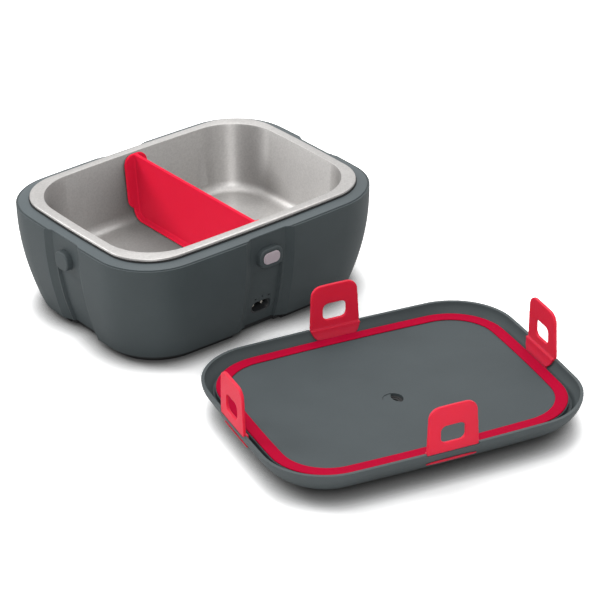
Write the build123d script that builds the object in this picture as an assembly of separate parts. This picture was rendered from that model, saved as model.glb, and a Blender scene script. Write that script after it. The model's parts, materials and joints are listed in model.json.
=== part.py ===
from build123d import *
import math
import os

# ---------------------------------------------------------------- driving sizes, millimetres
# base plan and heights
BASE_LENGTH = 253.6        # outer shell along X at the seam, middle of the short sides
BASE_WIDTH = 196.8         # outer shell along Y at the seam, middle of the long sides
BASE_CORNER_R = 50.0
BOW_SHORT = 2.4            # outward bow of the short sides
BOW_LONG = 2.8             # outward bow of the long sides
SEAM_Z = 89.5              # top of the lower shell
SHELL_BOTTOM_Z = 6.5
TAPER = 13.5               # inward run of each side between seam and bottom
TAPER_POWER = 2.1
CORNER_SHRINK = 0.35       # share of the taper taken off the corner radius
SHELL_WALL = 2.8
# rim frame
RIM_STEP = 1.8             # ledge left free on the shell edge, where the lid rim lands
RIM_EDGE_H = 0.7           # upright edge below the slope
RIM_SHOULDER = 0.8         # flat top beyond the dish flange
RIM_INNER_GAP = 0.7        # between tub wall and rim frame
RIM_SKIRT_DROP = 4.0
RIM_SKIRT_WALL = 2.0
# recessed channels in the four sides
CHANNEL_DEPTH = 3.5
CHANNEL_FLOOR = 33.5
CHANNEL_FLANK = 7.0
POCKET_TOP_Z = 59.6
POCKET_DEPTH = 6.0
POCKET_FLOOR = 28.0
POCKET_FLANK = 2.2
# catch studs
STUD_Z = 70.8
STUD_WIDTH = 16.6          # plain studs of the sides and the rear
STUD_HEIGHT = 15.4
HOUSING_WIDTH = 22.2       # front stud, around the button
HOUSING_HEIGHT = 16.0
STUD_R = 6.5
STUD_PROUD = 4.6           # from the channel floor
STUD_NOSE_R = 1.2
STUD_CLEAR = 0.15
STUD_PLATE_T = 1.6
STUD_PLATE_GAP = 1.6       # between channel wall and retaining plate at the seam
STUD_PLATE_LAP = 2.5
STUD_PLATE_R = 2.0
BUTTON_WIDTH = 15.6
BUTTON_HEIGHT = 9.6
BUTTON_R = 4.2
BUTTON_CLEAR = 0.25
BUTTON_PROUD = 0.5
BUTTON_TRAVEL = 1.2
BUTTON_LENGTH = 5.6
CARRIER_T = 1.2
SWITCH_SIZE = 6.0
SWITCH_DEPTH = 3.2
PLUNGER_R = 1.6
LED_OFFSET = 5.4
# power inlet
SOCKET_Z = 21.8
SOCKET_WIDTH = 15.8
SOCKET_HEIGHT = 8.4
SOCKET_RIM = 1.2
SOCKET_R = 4.4
SOCKET_DEPTH = 17.0
SOCKET_CAVITY = 12.5
SOCKET_RECESS = 1.2        # socket face behind the pocket floor
PIN_D = 2.4
PIN_PITCH = 8.6
PIN_LENGTH = 9.0
INLET_CLEAR = 0.2
HOLE_D = 1.6
# plinth and feet
FOOT_H = 4.0
FOOT_WIDTH = 9.5
FOOT_INSET = 6.8
FOOT_CLEAR = 0.3
PLINTH_INSET = 2.6
PLINTH_DROP = 2.2          # lower step of the plinth between the feet
ARCH_WIDTH = 48.0
BOSS_R = 4.5
BOSS_TOP_Z = 20.0
BOSS_END = 2.0             # closed end above the screw bore
RIB_T = 2.4                # web between boss and shell corner
RIB_REACH = 20.0
SCREW_D = 3.0
SCREW_HEAD_D = 6.4
SCREW_HEAD_H = 1.2
SCREW_CLEAR = 0.2
# steel dish
FLANGE_GAP = 10.7          # from the shell outline to the flange edge
FLANGE_Z = 94.8
FLANGE_T = 0.8
FLANGE_RIM = 7.4           # flange width in the middle of the sides
LIP_DROP = 1.9
LIP_WALL = 1.4
OPENING_R = 42.3
DISH_DEPTH = 57.0
DISH_DRAFT = 5.2           # inward run of the walls down to the floor
DISH_FILLET = 9.0
SHEET = 0.8
# divider
DIVIDER_T = 2.6
DIVIDER_FLANGE = 22.0      # edge strip on the walls
DIVIDER_FLOOR = 12.0       # edge strip on the floor
DIVIDER_STRIP_T = 1.6
DIVIDER_CLEAR = 0.4
DIVIDER_END_CLEAR = 0.65
DIVIDER_TOP_GAP = 0.9
LOBE_R = 8.5
LOBE_RISE = 9.0            # wall strip starts this far above the floor
# heating well
TUB_GAP = 0.9
TUB_FLANGE = 2.0
GASKET_H = 2.3
GASKET_IN = 2.1            # from the dish opening
GASKET_OUT = 1.9           # from the flange edge
PLATE_MARGIN = 15.0        # spreader plate inside the dish foot
PLATE_R = 24.0
PLATE_T = 3.0
TRAY_MARGIN = 9.0          # reflector tray inside the spreader plate
TRAY_R = 18.0
TRAY_H = 9.4
TRAY_T = 0.6
POST_EDGE = 4.5            # post axis inside the spreader plate edge
POST_Y = 34.0
POST_D = 7.0
HEATER_D = 5.0
HEATER_MARGIN = 16.0       # heater loop inside the tray
HEATER_BEND = 14.0
HEATER_TAIL = 6.0          # terminal ends beyond the tray
LEAD_HALF_PITCH = 10.0
THERMOSTAT_D = 15.0
THERMOSTAT_H = 6.5
FUSE_D = 4.4
FUSE_LENGTH = 13.0
BOARD_X = 62.0
BOARD_Y = 40.0
BOARD_T = 1.6
BOARD_AT = (44.0, -44.0)
STANDOFF_H = 4.0
STANDOFF_R = 3.0
STANDOFF_INSET = 4.0
# lid, lying upside down with its rim up
LID_H = 30.0
LID_GROW_X = 1.0           # lid outline beyond the shell outline at the short sides
LID_GROW_Y = 2.0           # the same at the long sides
LID_TAPER = 32.0
LID_TAPER_POWER = 1.9
LID_WALL = 2.4
LID_CROWN_INSET = 2.0      # cavity floor edge inside the wall
LID_AT = (-9.0, -251.3)
LID_TURN = -14.3
PANEL_INSET = 9.0          # from lid outline to the panel side wall
PANEL_CORNER_GAIN = 3.9    # panel corners rounder than an even offset
PANEL_DROP = 6.3           # panel face below the rim plane
PANEL_T = 2.4
PANEL_LEDGE_T = 1.6
PANEL_LEDGE_Z = 18.0
SEAL_WIDTH = 9.6
SEAL_PROUD = 1.0
SEAL_RIB = 3.0
SEAL_RIB_DEPTH = 1.4
SEAL_RIB_CLEAR = 0.1
SEAL_EDGE = 0.5
FOAM_GAP = 3.0
VENT_AT = (-3.4, -10.0)
VENT_WELL_D = 15.6
VENT_WELL_DEPTH = 3.0
VENT_BORE_D = 6.0
VENT_TUBE_WALL = 1.5
VENT_CLEAR = 0.1
# latches
LATCH_WIDTH = 41.0         # at the lid rim
LATCH_TOP_WIDTH = 37.6
LATCH_HEIGHT = 36.3        # flap end above the rim plane
LATCH_ARCH = 0.7           # rise of the arched end
LATCH_R = 8.5
LATCH_T = 2.4
LATCH_INSET = 0.2          # flap outer face inside the lid outline
LATCH_GAP = 0.3
SLOT_WIDTH = 19.6
SLOT_HEIGHT = 13.8
SLOT_R = 4.5
SLOT_RISE = 13.2
TONGUE_R = 11.0
TONGUE_DROP = 10.0
TONGUE_T = 2.0
TONGUE_CLEAR = 0.15
NECK_H = 1.4
BAR_WIDTH = 40.0
BAR_HEIGHT = 3.8
BAR_END_H = 1.4
BAR_PROUD = 1.2
BAR_DROP = 10.0
BRIDGE_WIDTH = 31.6
BRIDGE_H = 2.0

# ---------------------------------------------------------------- sizes that follow from them
HALF_X = BASE_LENGTH / 2
HALF_Y = BASE_WIDTH / 2
BOTTOM_X = HALF_X - TAPER
BOTTOM_Y = HALF_Y - TAPER
BOTTOM_R = BASE_CORNER_R - CORNER_SHRINK * TAPER
FLANGE_X = HALF_X - FLANGE_GAP
FLANGE_Y = HALF_Y - FLANGE_GAP
FLANGE_R = BASE_CORNER_R - FLANGE_GAP
OPEN_X = FLANGE_X - FLANGE_RIM
OPEN_Y = FLANGE_Y - FLANGE_RIM
FOOT_X = OPEN_X - DISH_DRAFT
FOOT_Y = OPEN_Y - DISH_DRAFT
RIM_TOP_Z = FLANGE_Z - FLANGE_T - GASKET_H
DISH_FLOOR_Z = FLANGE_Z - DISH_DEPTH
TUB_BORE = SHEET + TUB_GAP
TUB_FLOOR_Z = DISH_FLOOR_Z - TUB_BORE
PLATE_TOP_Z = TUB_FLOOR_Z - SHEET
PLATE_BOTTOM_Z = PLATE_TOP_Z - PLATE_T
PLATE_X = 2 * (FOOT_X - PLATE_MARGIN)
PLATE_Y = 2 * (FOOT_Y - PLATE_MARGIN)
TRAY_X = PLATE_X - 2 * TRAY_MARGIN
TRAY_Y = PLATE_Y - 2 * TRAY_MARGIN
HEATER_X = TRAY_X / 2 - HEATER_MARGIN
HEATER_Y = TRAY_Y / 2 - HEATER_MARGIN
HEATER_Z = PLATE_BOTTOM_Z - HEATER_D / 2
LID_X = HALF_X + LID_GROW_X
LID_Y = HALF_Y + LID_GROW_Y
LID_R = BASE_CORNER_R + LID_GROW_X
PANEL_FACE_Z = LID_H - PANEL_DROP
SIDES = {"front": (HALF_Y, 0.0), "right": (HALF_X, 90.0), "rear": (HALF_Y, 180.0), "left": (HALF_X, -90.0)}
LID_HALF = {"front": LID_Y, "right": LID_X, "rear": LID_Y, "left": LID_X}
SECTION_Z = [SHELL_BOTTOM_Z + (SEAM_Z - SHELL_BOTTOM_Z) * k / 5 for k in range(6)]
LID_STEPS = (0.0, 0.05, 0.14, 0.28, 0.42, 0.56, 0.70, 0.85, 1.0)
LOW = (Align.CENTER, Align.CENTER, Align.MIN)
HANGING = (Align.CENTER, Align.CENTER, Align.MAX)


# ---------------------------------------------------------------- shared shapes
def outline(half_x, half_y, corner_r, z):
    """Rounded rectangle with gently bowed sides, as a face at height z."""
    cx = half_x - BOW_SHORT
    cy = half_y - BOW_LONG
    sides = Curve() + [
        ThreePointArc((cx, -cy), (half_x, 0), (cx, cy)),
        ThreePointArc((cx, cy), (0, half_y), (-cx, cy)),
        ThreePointArc((-cx, cy), (-half_x, 0), (-cx, -cy)),
        ThreePointArc((-cx, -cy), (0, -half_y), (cx, -cy)),
    ]
    flat = make_face(sides)
    flat = fillet(flat.vertices(), corner_r)
    return Pos(0, 0, z) * flat


def slab(half_x, half_y, corner_r, z0, z1):
    """Bowed rounded slab between two heights."""
    return extrude(outline(half_x, half_y, corner_r, z0), z1 - z0, dir=(0, 0, 1))


def ring(half_x, half_y, corner_r, width, z0, z1):
    """Bowed rounded ring of one width between two heights."""
    outer = slab(half_x, half_y, corner_r, z0, z1)
    inner = slab(half_x - width, half_y - width, corner_r - width, z0 - 1, z1 + 1)
    return outer - inner


def side_run(z):
    """Inward run of the base sides at height z."""
    t = min(1.0, max(0.0, (SEAM_Z - z) / (SEAM_Z - SHELL_BOTTOM_Z)))
    return TAPER * t ** TAPER_POWER


def base_section(z, inset=0.0):
    """Outline of the base at height z."""
    run = side_run(z)
    radius = BASE_CORNER_R - CORNER_SHRINK * run - inset
    return outline(HALF_X - run - inset, HALF_Y - run - inset, radius, z)


def lid_run(z):
    """Inward run of the lid sides at height z above its outer face."""
    return LID_TAPER * (1 - z / LID_H) ** LID_TAPER_POWER


def on_side(side, shape):
    """Turn a shape modelled on the front (outward along -Y) onto another side."""
    return Rot(0, 0, SIDES[side][1]) * shape


def upright(width, height, radius, y0, y1, z):
    """Rounded block between two depths, its rounded face across Y."""
    flat = Plane.XZ * RectangleRounded(width, height, radius)
    block = extrude(flat, y1 - y0, dir=(0, 1, 0))
    return Pos(0, y0, z) * block


def channel(half, depth, floor_width, flank, z_list, grow=0.0):
    """Body that cuts one tapered side channel, front side."""
    sections = []
    slope = flank / depth
    for z in z_list:
        face_y = half - side_run(z)
        floor_y = face_y - depth - grow
        half_floor = floor_width / 2 + grow * 0.8
        reach = depth + grow + 3.0
        half_open = half_floor + slope * reach
        points = [
            (-half_floor, -floor_y, z),
            (half_floor, -floor_y, z),
            (half_open, -floor_y - reach, z),
            (-half_open, -floor_y - reach, z),
        ]
        sections.append(make_face(Polyline(*points, close=True)))
    return loft(sections)


def channel_set(side, grow=0.0):
    """Full-height channel and the deeper pocket under the stud, one side."""
    half = SIDES[side][0]
    tall = [SHELL_BOTTOM_Z - 6] + SECTION_Z + [SEAM_Z + 4, SEAM_Z + 8]
    step = (POCKET_TOP_Z - SHELL_BOTTOM_Z) / 4
    low = [SHELL_BOTTOM_Z - 6] + [SHELL_BOTTOM_Z + step * k for k in range(5)]
    low[-1] = POCKET_TOP_Z + grow
    wide = channel(half, CHANNEL_DEPTH, CHANNEL_FLOOR, CHANNEL_FLANK, tall, grow)
    deep = channel(half, POCKET_DEPTH, POCKET_FLOOR, POCKET_FLANK, low, grow)
    return on_side(side, wide + deep)


def dish_section(z, grow):
    """Outline of the dish wall at height z, grown outward."""
    run = DISH_DRAFT * (FLANGE_Z - z) / DISH_DEPTH - grow
    return outline(OPEN_X - run, OPEN_Y - run, OPENING_R - run, z)


def vessel_body(z_top, z_floor, grow, floor_fillet):
    """Solid of a tapered vessel that follows the dish wall."""
    body = loft([dish_section(z_floor, grow), dish_section(z_top, grow)], ruled=True)
    floor_edges = body.faces().sort_by(Axis.Z)[0].edges()
    return fillet(floor_edges, floor_fillet)


def foot_ring(grow=0.0):
    """The four feet as cut from one ring, grown sideways for the recess that takes them."""
    inset = FOOT_INSET - grow
    feet = ring(BOTTOM_X - inset, BOTTOM_Y - inset, BOTTOM_R - inset, FOOT_WIDTH + 2 * grow, 0, FOOT_H)
    arch = ARCH_WIDTH - 2 * grow
    feet -= Box(BASE_LENGTH, arch, 4 * FOOT_H)
    feet -= Box(arch, BASE_WIDTH, 4 * FOOT_H)
    return feet


def boss_spots():
    """Centres of the four screw bosses, over the middle of the feet at each corner."""
    inset = FOOT_INSET + FOOT_WIDTH / 2
    reach = (BOTTOM_R - inset) * math.cos(math.pi / 4)
    x = BOTTOM_X - BOW_SHORT - BOTTOM_R + reach
    y = BOTTOM_Y - BOW_LONG - BOTTOM_R + reach
    return [(-x, -y), (-x, y), (x, -y), (x, y)]


# ---------------------------------------------------------------- base
def boss_ribs():
    """Upright webs that tie the four screw bosses to the corners of the shell."""
    wall = loft([base_section(z, SHELL_WALL / 2) for z in SECTION_Z])
    ribs = []
    for x, y in boss_spots():
        turn = math.degrees(math.atan2(math.copysign(1, y), math.copysign(1, x)))
        web = Box(RIB_REACH, RIB_T, BOSS_TOP_Z - SHELL_BOTTOM_Z, align=(Align.MIN, Align.CENTER, Align.MIN))
        ribs.append(Location((x, y, SHELL_BOTTOM_Z), (0, 0, turn)) * web & wall)
    return ribs


def lower_shell():
    """Tapered outer bowl with four channels, stud openings, inlet opening and screw bosses."""
    outer = loft([base_section(z) for z in SECTION_Z])
    inner_z = list(SECTION_Z)
    inner_z[0] = SHELL_BOTTOM_Z - 0.01
    inner_z[-1] = SEAM_Z + 0.01
    inner = loft([base_section(z, SHELL_WALL) for z in inner_z])
    for side in SIDES:
        outer -= channel_set(side)
        inner -= channel_set(side, SHELL_WALL)
    shell = outer - inner + boss_ribs()
    boss_h = BOSS_TOP_Z - SHELL_BOTTOM_Z
    for x, y in boss_spots():
        place = Pos(x, y, SHELL_BOTTOM_Z)
        shell += place * Cylinder(BOSS_R, boss_h, align=LOW)
        shell -= place * Cylinder(SCREW_D / 2 + 0.05, boss_h - BOSS_END, align=LOW)
    for side in SIDES:
        half = SIDES[side][0]
        width, height = stud_size(side)
        hole = upright(width + 2 * STUD_CLEAR, height + 2 * STUD_CLEAR, STUD_R + STUD_CLEAR,
                       -half - 4, -half + POCKET_DEPTH + SHELL_WALL, STUD_Z)
        shell -= on_side(side, hole)
    face_y = socket_face_y()
    rim = 2 * (SOCKET_RIM + INLET_CLEAR)
    shell -= upright(SOCKET_WIDTH + rim, SOCKET_HEIGHT + rim, SOCKET_R + INLET_CLEAR,
                     -HALF_Y, face_y + 8, SOCKET_Z)
    for dx, dz in ((-6.6, 8.6), (0.0, 9.6), (6.6, 8.6)):
        shell -= Pos(dx, face_y, SOCKET_Z + dz) * Rot(90, 0, 0) * Cylinder(HOLE_D / 2, 16)
    return shell


def rim_frame():
    """Upper frame: sloped shoulder, ledge for the heating well, locating skirt."""
    grow = TUB_BORE + SHEET + RIM_INNER_GAP
    edge_z = SEAM_Z + RIM_EDGE_H
    edge = (HALF_X - RIM_STEP, HALF_Y - RIM_STEP, BASE_CORNER_R - RIM_STEP)
    top = (FLANGE_X + RIM_SHOULDER, FLANGE_Y + RIM_SHOULDER, FLANGE_R + RIM_SHOULDER)
    frame = slab(*edge, SEAM_Z, edge_z)
    frame += loft([outline(*edge, edge_z), outline(*top, RIM_TOP_Z)], ruled=True)
    for side in SIDES:
        frame -= channel_set(side)
    frame += extrude(dish_section(SEAM_Z, grow + RIM_SKIRT_WALL), -RIM_SKIRT_DROP, dir=(0, 0, 1))
    frame -= extrude(dish_section(RIM_TOP_Z, grow), SEAM_Z - RIM_SKIRT_DROP - RIM_TOP_Z - 1, dir=(0, 0, 1))
    frame -= extrude(dish_section(RIM_TOP_Z, grow + TUB_FLANGE), -SHEET, dir=(0, 0, 1))
    return frame


def flange_gasket():
    """Black ring that carries the dish flange."""
    top = RIM_TOP_Z + GASKET_H
    outer = slab(FLANGE_X - GASKET_OUT, FLANGE_Y - GASKET_OUT, FLANGE_R - GASKET_OUT, RIM_TOP_Z, top)
    inner = extrude(dish_section(FLANGE_Z, GASKET_IN), -2 * LIP_DROP - GASKET_H, dir=(0, 0, 1))
    return outer - inner


def bottom_plate():
    """Dark plinth under the shell, stepped down between the feet, with counterbored screw holes."""
    plate = slab(BOTTOM_X - PLINTH_INSET, BOTTOM_Y - PLINTH_INSET, BOTTOM_R - PLINTH_INSET,
                 FOOT_H, SHELL_BOTTOM_Z)
    step = slab(BOTTOM_X - FOOT_INSET, BOTTOM_Y - FOOT_INSET, BOTTOM_R - FOOT_INSET,
                FOOT_H - PLINTH_DROP, FOOT_H)
    plate += step - foot_ring(FOOT_CLEAR)
    for side in SIDES:
        plate -= channel_set(side, PLINTH_INSET)
    for x, y in boss_spots():
        place = Pos(x, y, FOOT_H)
        plate -= place * Cylinder(SCREW_D / 2 + SCREW_CLEAR, 4 * FOOT_H)
        plate -= place * Cylinder(SCREW_HEAD_D / 2 + SCREW_CLEAR, 2 * SCREW_HEAD_H)
    for sx in (-1, 1):
        for sy in (-1, 1):
            x = BOARD_AT[0] + sx * (BOARD_X / 2 - STANDOFF_INSET)
            y = BOARD_AT[1] + sy * (BOARD_Y / 2 - STANDOFF_INSET)
            plate += Pos(x, y, SHELL_BOTTOM_Z) * Cylinder(STANDOFF_R, STANDOFF_H, align=LOW)
    return plate


def rubber_feet():
    """Four corner feet that leave an arch in the middle of each side."""
    return foot_ring()


def bottom_screws():
    """Four plinth screws, their heads above the feet."""
    shank_h = BOSS_TOP_Z - FOOT_H - 2 * BOSS_END
    screws = []
    for x, y in boss_spots():
        head = Cylinder(SCREW_HEAD_D / 2, SCREW_HEAD_H, align=LOW)
        shank = Cylinder(SCREW_D / 2, shank_h, align=LOW)
        screws.append(Pos(x, y, FOOT_H) * (head + shank))
    return Compound(children=screws)


def stud_size(side):
    """Width and height of the stud on one side."""
    if side == "front":
        return HOUSING_WIDTH, HOUSING_HEIGHT
    return STUD_WIDTH, STUD_HEIGHT


def stud_depths(half):
    """Outer face and back of a stud along Y, front side."""
    front_y = -half + CHANNEL_DEPTH - STUD_PROUD
    back_y = -half + CHANNEL_DEPTH + SHELL_WALL + STUD_PLATE_GAP
    return front_y, back_y


def stud(side, hollow=False):
    """Catch stud through the channel floor, with a retaining plate behind the wall."""
    front_y, back_y = stud_depths(SIDES[side][0])
    width, height = stud_size(side)
    end_y = back_y + STUD_PLATE_T
    body = upright(width, height, STUD_R, front_y, end_y, STUD_Z)
    nose = body.faces().sort_by(Axis.Y)[0].edges()
    body = fillet(nose, STUD_NOSE_R)
    body += upright(width + 2 * STUD_PLATE_LAP, height - 3, STUD_PLATE_R, back_y, end_y, STUD_Z)
    if hollow:
        body -= upright(BUTTON_WIDTH + 2 * BUTTON_CLEAR, BUTTON_HEIGHT + 2 * BUTTON_CLEAR,
                        BUTTON_R + BUTTON_CLEAR, front_y - 1, end_y + 1, STUD_Z)
    return on_side(side, body)


def power_button():
    """Translucent push button inside the front stud."""
    front_y = stud_depths(HALF_Y)[0] - BUTTON_PROUD
    body = upright(BUTTON_WIDTH, BUTTON_HEIGHT, BUTTON_R, front_y, front_y + BUTTON_LENGTH, STUD_Z)
    nose = body.faces().sort_by(Axis.Y)[0].edges()
    return fillet(nose, 0.6)


def button_switch():
    """Small circuit carrier with the push switch, fixed to the back of the front stud."""
    front_y, back_y = stud_depths(HALF_Y)
    y0 = back_y + STUD_PLATE_T
    carrier = upright(HOUSING_WIDTH + 4, HOUSING_HEIGHT - 2, 1.0, y0, y0 + CARRIER_T, STUD_Z)
    switch_y = y0 - SWITCH_DEPTH
    body = upright(SWITCH_SIZE, SWITCH_SIZE, 0.5, switch_y, y0, STUD_Z)
    button_back = front_y - BUTTON_PROUD + BUTTON_LENGTH
    plunger_y = button_back + BUTTON_TRAVEL + 0.2
    plunger = Rot(90, 0, 0) * Cylinder(PLUNGER_R, switch_y - plunger_y)
    return carrier + body + Pos(0, (plunger_y + switch_y) / 2, STUD_Z) * plunger


def indicator_led():
    """Two small lamps beside the push switch."""
    y0 = stud_depths(HALF_Y)[1] + STUD_PLATE_T
    lamps = []
    for sx in (-1, 1):
        lamps.append(Pos(sx * LED_OFFSET, 0, 0) * upright(1.6, 2.4, 0.3, y0 - 1.6, y0, STUD_Z))
    return Compound(children=lamps)


# ---------------------------------------------------------------- power inlet and electrics
def socket_face_y():
    """Front of the inlet body, a little behind the pocket floor at its height."""
    return -(HALF_Y - side_run(SOCKET_Z) - POCKET_DEPTH) + SOCKET_RECESS


def power_socket():
    """Two-pin inlet body with an oval mouth."""
    y0 = socket_face_y()
    rim = 2 * SOCKET_RIM
    mouth_r = SOCKET_HEIGHT / 2 - 0.05
    body = upright(SOCKET_WIDTH + rim, SOCKET_HEIGHT + rim, SOCKET_R, y0, y0 + SOCKET_DEPTH, SOCKET_Z)
    body -= upright(SOCKET_WIDTH, SOCKET_HEIGHT, mouth_r, y0 - 1, y0 + SOCKET_CAVITY, SOCKET_Z)
    for sx in (-1, 1):
        hole = Rot(90, 0, 0) * Cylinder(PIN_D / 2, 12)
        body -= Pos(sx * PIN_PITCH / 2, y0 + SOCKET_DEPTH, SOCKET_Z) * hole
    saddle_h = SOCKET_Z - SOCKET_HEIGHT / 2 - SOCKET_RIM - SHELL_BOTTOM_Z + 0.5
    saddle = Box(12, 8, saddle_h, align=LOW)
    return body + Pos(0, y0 + SOCKET_DEPTH - 5, SHELL_BOTTOM_Z) * saddle


def socket_pins():
    """Two round contact pins with solder tails."""
    start = socket_face_y() + SOCKET_CAVITY - PIN_LENGTH
    end = socket_face_y() + SOCKET_DEPTH + 3
    pins = []
    for sx in (-1, 1):
        pin = Cylinder(PIN_D / 2, end - start)
        pins.append(Pos(sx * PIN_PITCH / 2, (start + end) / 2, SOCKET_Z) * Rot(90, 0, 0) * pin)
    return Compound(children=pins)


def heating_plate():
    """Aluminium spreader plate under the well."""
    flat = RectangleRounded(PLATE_X, PLATE_Y, PLATE_R)
    return extrude(Pos(0, 0, PLATE_BOTTOM_Z) * flat, PLATE_T)


def plate_posts():
    """Four insulating posts between plinth and spreader plate."""
    posts = []
    for sx in (-1, 1):
        for sy in (-1, 1):
            post = Cylinder(POST_D / 2, PLATE_BOTTOM_Z - SHELL_BOTTOM_Z, align=LOW)
            posts.append(Pos(sx * (PLATE_X / 2 - POST_EDGE), sy * POST_Y, SHELL_BOTTOM_Z) * post)
    return Compound(children=posts)


def heater_element():
    """Bent tubular heater loop with two terminal ends towards the front."""
    z = HEATER_Z
    tail_y = -TRAY_Y / 2 - HEATER_TAIL
    wire = FilletPolyline((-LEAD_HALF_PITCH, tail_y, z), (-LEAD_HALF_PITCH, -HEATER_Y, z),
                          (-HEATER_X, -HEATER_Y, z), (-HEATER_X, HEATER_Y, z), (HEATER_X, HEATER_Y, z),
                          (HEATER_X, -HEATER_Y, z), (LEAD_HALF_PITCH, -HEATER_Y, z),
                          (LEAD_HALF_PITCH, tail_y, z), radius=HEATER_BEND / 2)
    start = Plane(origin=wire @ 0, z_dir=wire % 0)
    return sweep(start * Circle(HEATER_D / 2), path=wire)


def heat_shield():
    """Shallow reflector tray around the heater."""
    z0 = PLATE_BOTTOM_Z - TRAY_H
    outer = extrude(Pos(0, 0, z0) * RectangleRounded(TRAY_X, TRAY_Y, TRAY_R), TRAY_H)
    hollow = RectangleRounded(TRAY_X - 2 * TRAY_T, TRAY_Y - 2 * TRAY_T, TRAY_R - TRAY_T)
    tray = outer - extrude(Pos(0, 0, z0 + TRAY_T) * hollow, TRAY_H)
    for sx in (-1, 1):
        spot = Pos(sx * LEAD_HALF_PITCH, -TRAY_Y / 2, HEATER_Z)
        tray -= spot * Rot(90, 0, 0) * Cylinder(HEATER_D / 2 + 0.4, 6)
    return tray


def thermostat():
    """Disc thermostat under the spreader plate."""
    return Pos(30, 0, PLATE_BOTTOM_Z) * Cylinder(THERMOSTAT_D / 2, THERMOSTAT_H, align=HANGING)


def thermal_fuse():
    """Cylindrical cut-out held under the spreader plate by a saddle."""
    barrel = Rot(0, 90, 0) * Cylinder(FUSE_D / 2, FUSE_LENGTH)
    saddle = Pos(0, 0, FUSE_D / 4) * Box(6, FUSE_D + 2, FUSE_D / 2)
    return Pos(-30, 12, PLATE_BOTTOM_Z - FUSE_D / 2) * (barrel + saddle)


def temperature_sensor():
    """Bead sensor in a small clip."""
    clip = Box(10, 6, 1.2, align=HANGING)
    bead = Pos(0, 0, -1.2) * Cylinder(2.0, 3.6, align=HANGING)
    return Pos(-30, -14, PLATE_BOTTOM_Z) * (clip + bead)


def control_board():
    """Circuit board on the plinth stand-offs."""
    board = Box(BOARD_X, BOARD_Y, BOARD_T, align=LOW)
    return Pos(BOARD_AT[0], BOARD_AT[1], SHELL_BOTTOM_Z + STANDOFF_H) * board


def board_parts():
    """Relay, transformer, capacitor and connector on the board."""
    place = Pos(BOARD_AT[0], BOARD_AT[1], SHELL_BOTTOM_Z + STANDOFF_H + BOARD_T)
    relay = place * Pos(-18, 8, 0) * Box(18, 12, 9, align=LOW)
    transformer = place * Pos(6, 6, 0) * Box(14, 14, 8, align=LOW)
    capacitor = place * Pos(22, 8, 0) * Cylinder(4.5, 9, align=LOW)
    connector = place * Pos(-16, -11, 0) * Box(16, 6, 6, align=LOW)
    return Compound(children=[relay, transformer, capacitor, connector])


# ---------------------------------------------------------------- vessels
def inner_tub():
    """Thin aluminium heating well hung from the rim frame."""
    outer = vessel_body(RIM_TOP_Z, TUB_FLOOR_Z - SHEET, TUB_BORE + SHEET, DISH_FILLET + TUB_BORE + SHEET)
    inner = vessel_body(RIM_TOP_Z + 1, TUB_FLOOR_Z, TUB_BORE, DISH_FILLET + TUB_BORE)
    brim_grow = TUB_BORE + SHEET + RIM_INNER_GAP + TUB_FLANGE - 0.3
    brim = extrude(dish_section(RIM_TOP_Z, brim_grow), -SHEET, dir=(0, 0, 1))
    return outer + brim - inner


def dish():
    """Stainless dish with a flat flange and a rolled lip."""
    outer = vessel_body(FLANGE_Z - FLANGE_T / 2, DISH_FLOOR_Z - SHEET, SHEET, DISH_FILLET + SHEET)
    inner = vessel_body(FLANGE_Z + 1, DISH_FLOOR_Z, 0.0, DISH_FILLET)
    flange = slab(FLANGE_X, FLANGE_Y, FLANGE_R, FLANGE_Z - FLANGE_T, FLANGE_Z)
    lip = ring(FLANGE_X, FLANGE_Y, FLANGE_R, LIP_WALL, FLANGE_Z - LIP_DROP, FLANGE_Z)
    rim = flange + lip
    crown = rim.faces().filter_by(Plane.XY).sort_by(Axis.Z)[-1].edges()
    rim = fillet(crown, 0.7)
    return outer + rim - inner


def divider_profile(inset, z_top):
    """Upright face across the dish, following its walls and floor at one inset."""
    z_low = DISH_FLOOR_Z + DIVIDER_CLEAR + inset
    y_low = FOOT_Y - DIVIDER_END_CLEAR - inset
    y_top = OPEN_Y - DIVIDER_END_CLEAR - inset
    points = ((-y_low, z_low), (y_low, z_low), (y_top, z_top), (-y_top, z_top))
    face = Plane.YZ * make_face(Polyline(*points, close=True))
    lows = face.vertices().sort_by(Axis.Z)[:2]
    return fillet(lows, DISH_FILLET + 0.8 - inset)


def divider():
    """Silicone partition: a web across the dish with an edge strip, broad and lobed on the walls."""
    z_top = FLANGE_Z - DIVIDER_TOP_GAP
    z_low = DISH_FLOOR_Z + DIVIDER_CLEAR
    profile = divider_profile(0.0, z_top)
    core = divider_profile(DIVIDER_STRIP_T, z_top + 5)
    half = DIVIDER_FLANGE / 2
    strip = extrude(Pos(-half, 0, 0) * profile, DIVIDER_FLANGE, dir=(1, 0, 0))
    strip -= extrude(Pos(-half - 1, 0, 0) * core, DIVIDER_FLANGE + 2, dir=(1, 0, 0))
    lobe_low = z_low + LOBE_RISE
    lobes = upright(DIVIDER_FLANGE, z_top - lobe_low, LOBE_R, -HALF_Y, HALF_Y, (z_top + lobe_low) / 2)
    lobes += Pos(0, 0, z_low) * Box(DIVIDER_FLOOR, BASE_WIDTH, 2 * (LOBE_RISE + LOBE_R))
    web = extrude(Pos(-DIVIDER_T / 2, 0, 0) * profile, DIVIDER_T, dir=(1, 0, 0))
    return web + (strip & lobes)


# ---------------------------------------------------------------- lid
def in_place(shape):
    """Put a lid part where the upturned lid lies beside the base."""
    return Location((LID_AT[0], LID_AT[1], 0), (0, 0, LID_TURN)) * shape


def lid_outline(inset, z):
    """Lid rim outline at one inset."""
    return outline(LID_X - inset, LID_Y - inset, LID_R - inset, z)


def lid_section(z, inset):
    """Outline of the lid at height z."""
    return lid_outline(lid_run(min(z, LID_H)) + inset, z)


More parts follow.
